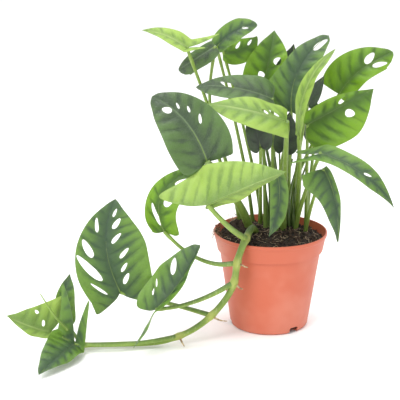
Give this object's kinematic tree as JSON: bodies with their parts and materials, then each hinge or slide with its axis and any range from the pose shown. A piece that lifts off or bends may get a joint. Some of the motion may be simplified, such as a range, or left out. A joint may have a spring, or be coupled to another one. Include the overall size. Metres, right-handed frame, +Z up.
{
  "type": "potted monstera plant",
  "caption": "Small potted climbing monstera with holed leaves, upright leaves from the soil and one vine trailing over the rim onto the floor.",
  "frame": {"origin": "centre of the flat underside of the pot, on the floor it stands on", "axes": "+Z up, +X along the object's longest extent, away from the end of the trailing vine, +Y towards the back, with the vine's floor end at low X"},
  "size_m": [0.3948, 0.2157, 0.3294],
  "materials": {
    "pot_plastic": "satin",
    "soil": "matte",
    "vine": "satin",
    "stalk": "satin",
    "leaf_green": "satin",
    "leaf_light": "satin"
  },
  "bodies": {
    "root": {"pot": "pot_plastic", "soil": "soil", "vine_stem": "vine", "leaf_vine_large": "leaf_green", "stalk_vine_large": "stalk", "leaf_vine_folded": "leaf_green", "stalk_vine_folded": "stalk", "leaf_vine_end_left": "leaf_light", "stalk_vine_end_left": "stalk", "leaf_vine_end_back": "leaf_green", "stalk_vine_end_back": "stalk", "leaf_vine_end_front": "leaf_green", "stalk_vine_end_front": "stalk", "leaf_low_front": "leaf_green", "stalk_low_front": "stalk", "leaf_low_back": "leaf_green", "stalk_low_back": "stalk", "leaf_dark_left": "leaf_green", "stalk_dark_left": "stalk", "leaf_pale_middle": "leaf_light", "stalk_pale_middle": "stalk", "leaf_inner_dark": "leaf_green", "stalk_inner_dark": "stalk", "leaf_inner_right": "leaf_green", "stalk_inner_right": "stalk", "leaf_inner_middle": "leaf_green", "stalk_inner_middle": "stalk", "leaf_upper_middle": "leaf_light", "stalk_upper_middle": "stalk", "leaf_pale_top_left": "leaf_light", "stalk_pale_top_left": "stalk", "leaf_hanging_top_left": "leaf_green", "stalk_hanging_top_left": "stalk", "leaf_grey_top_left": "leaf_green", "stalk_grey_top_left": "stalk", "leaf_bright_top_left": "leaf_green", "stalk_bright_top_left": "stalk", "leaf_tall_middle": "leaf_light", "stalk_tall_middle": "stalk", "leaf_tall_back": "leaf_green", "stalk_tall_back": "stalk", "leaf_tall_right": "leaf_green", "stalk_tall_right": "stalk", "leaf_edge_on_right": "leaf_light", "stalk_edge_on_right": "stalk", "leaf_small_right": "leaf_green", "stalk_small_right": "stalk", "leaf_high_right": "leaf_green", "stalk_high_right": "stalk", "leaf_bright_right": "leaf_green", "stalk_bright_right": "stalk", "leaf_drooping_right": "leaf_green", "stalk_drooping_right": "stalk", "leaf_hanging_right": "leaf_green", "stalk_hanging_right": "stalk", "leaf_small_hanging": "leaf_light", "stalk_small_hanging": "stalk", "shoot_trailing": "stalk", "shoot_right": "stalk"}
  },
  "joints": []
}
